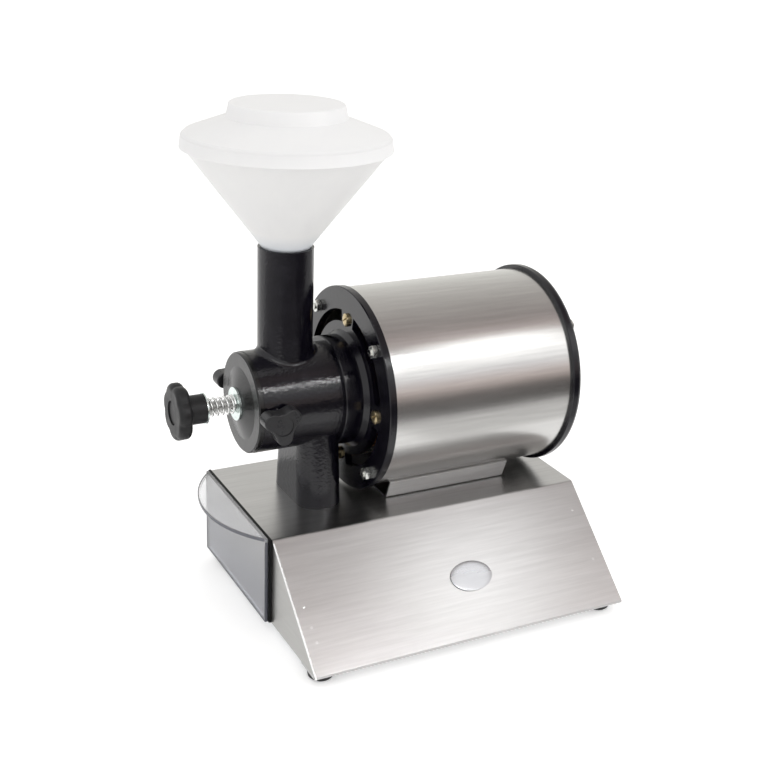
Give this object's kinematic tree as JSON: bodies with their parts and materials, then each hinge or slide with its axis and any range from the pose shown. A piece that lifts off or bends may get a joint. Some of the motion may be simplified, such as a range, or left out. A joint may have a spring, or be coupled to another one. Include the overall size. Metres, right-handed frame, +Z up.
{
  "type": "electric grain mill",
  "caption": "Electric burr mill: folded steel base with flour drawer, drum motor, cast grinding head with spring-loaded grind adjuster, feed tube and funnel hopper with lid",
  "frame": {"origin": "on the floor under the middle of the mill's outline", "axes": "+Z up, +X along the motor shaft away from the grind knob, -Y towards the operator"},
  "size_m": [0.3642, 0.2578, 0.4363],
  "materials": {
    "base_steel": "brushed stainless sheet",
    "plate_steel": "plain zinc plated sheet",
    "drum_steel": "brushed stainless sheet",
    "bezel_black": "matt black edging",
    "drawer_clear": "smoky clear plastic",
    "foot_rubber": "black rubber",
    "switch_black": "black plastic",
    "zinc": "zinc plated",
    "brass": "turned brass",
    "enamel": "gloss black enamel on casting",
    "cover_grey": "satin dark grey",
    "burr_iron": "ground chilled iron",
    "shaft_steel": "turned steel",
    "lamination": "stacked steel sheet",
    "copper": "varnished copper wire",
    "casting_grey": "raw casting",
    "fan_plastic": "black plastic",
    "bearing": "ground steel",
    "seal_rubber": "seal rubber",
    "can": "drawn can",
    "knob_black": "moulded black plastic",
    "hopper_plastic": "translucent milky plastic",
    "lid_plastic": "translucent milky plastic"
  },
  "bodies": {
    "mill": {"base_shell": "base_steel", "left_end_panel": "base_steel", "right_end_panel": "base_steel", "bottom_plate": "plate_steel", "drawer_guide": "plate_steel", "drawer_bezel": "bezel_black", "rubber_feet": "foot_rubber", "foot_screws": "zinc", "switch_housing": "switch_black", "cord_grommet": "foot_rubber", "capacitor": "can", "capacitor_clip": "plate_steel", "motor_cradle": "base_steel", "cradle_bolts": "zinc", "cradle_nuts": "zinc", "motor_jacket": "drum_steel", "front_flange": "enamel", "rear_cap": "enamel", "jacket_studs": "zinc", "stud_nuts": "zinc", "stator_bolts": "brass", "stator_spacers": "zinc", "stator_core": "lamination", "windings": "copper", "front_bearing": "bearing", "rear_bearing": "bearing", "shaft_seal": "seal_rubber", "rear_bell": "casting_grey", "head_casting": "enamel", "head_screws": "zinc", "chute_screws": "zinc", "front_cover": "cover_grey", "cover_washer": "zinc", "adjuster_spring": "zinc"},
    "rotor": {"motor_shaft": "shaft_steel", "rotor_core": "lamination", "cooling_fan": "fan_plastic", "feed_worm": "burr_iron", "rotating_burr": "burr_iron", "rotating_burr_screws": "zinc"},
    "carriage": {"burr_carriage": "casting_grey", "fixed_burr": "burr_iron", "fixed_burr_screws": "zinc", "hub_washer": "zinc"},
    "adjuster": {"adjuster_screw": "shaft_steel", "screw_clip": "shaft_steel", "adjuster_knob": "knob_black", "knob_insert": "brass"},
    "drawer": {"drawer": "drawer_clear"},
    "hopper": {"hopper": "hopper_plastic"},
    "lid": {"hopper_lid": "lid_plastic"},
    "clamp_washer_front": {"clamp_washer_front": "zinc"},
    "clamp_front": {"clamp_knob_front": "knob_black", "clamp_stud_front": "zinc"},
    "clamp_washer_rear": {"clamp_washer_rear": "zinc"},
    "clamp_rear": {"clamp_knob_rear": "knob_black", "clamp_stud_rear": "zinc"},
    "rocker": {"switch_rocker": "switch_black"}
  },
  "joints": [
    {"name": "shaft_spin", "type": "hinge", "parent": "mill", "child": "rotor", "pos_m": [0.02772, 0.03692, 0.185], "axis": [1, 0, 0], "continuous": true},
    {"name": "burr_feed", "type": "slide", "parent": "mill", "child": "carriage", "axis": [1, 0, 0], "range_m": [-0.00225, 0.0015], "deforming": ["adjuster_spring"]},
    {"name": "adjuster_turn", "type": "hinge", "parent": "carriage", "child": "adjuster", "pos_m": [-0.18208, 0.03692, 0.185], "axis": [1, 0, 0], "range_deg": [-540, 360]},
    {"name": "drawer_pull", "type": "slide", "parent": "mill", "child": "drawer", "axis": [-1, 0, 0], "range_m": [0, 0.18]},
    {"name": "hopper_lift", "type": "slide", "parent": "mill", "child": "hopper", "axis": [0, 0, 1], "range_m": [0, 0.035]},
    {"name": "lid_lift", "type": "slide", "parent": "hopper", "child": "lid", "axis": [0, 0, 1], "range_m": [0, 0.04]},
    {"name": "clamp_front_back", "type": "slide", "parent": "mill", "child": "clamp_washer_front", "axis": [0, -1, 0], "range_m": [0, 0.00438]},
    {"name": "clamp_front_turn", "type": "hinge", "parent": "clamp_washer_front", "child": "clamp_front", "pos_m": [-0.10678, -0.01008, 0.185], "axis": [0, -1, 0], "range_deg": [0, 1260]},
    {"name": "clamp_rear_back", "type": "slide", "parent": "mill", "child": "clamp_washer_rear", "axis": [0, 1, 0], "range_m": [0, 0.00438]},
    {"name": "clamp_rear_turn", "type": "hinge", "parent": "clamp_washer_rear", "child": "clamp_rear", "pos_m": [-0.10678, 0.08392, 0.185], "axis": [0, 1, 0], "range_deg": [0, 1260]},
    {"name": "rocker_tip", "type": "hinge", "parent": "mill", "child": "rocker", "pos_m": [0.17522, 0.09692, 0.052], "axis": [0, -1, 0], "range_deg": [0, 18]}
  ],
  "couplings": [
    {"joint": "adjuster_turn", "follows": "burr_feed", "rad_per_m": 4188.8},
    {"joint": "clamp_front_back", "follows": "clamp_front_turn", "m_per_rad": 0.00019894},
    {"joint": "clamp_rear_back", "follows": "clamp_rear_turn", "m_per_rad": 0.00019894}
  ]
}
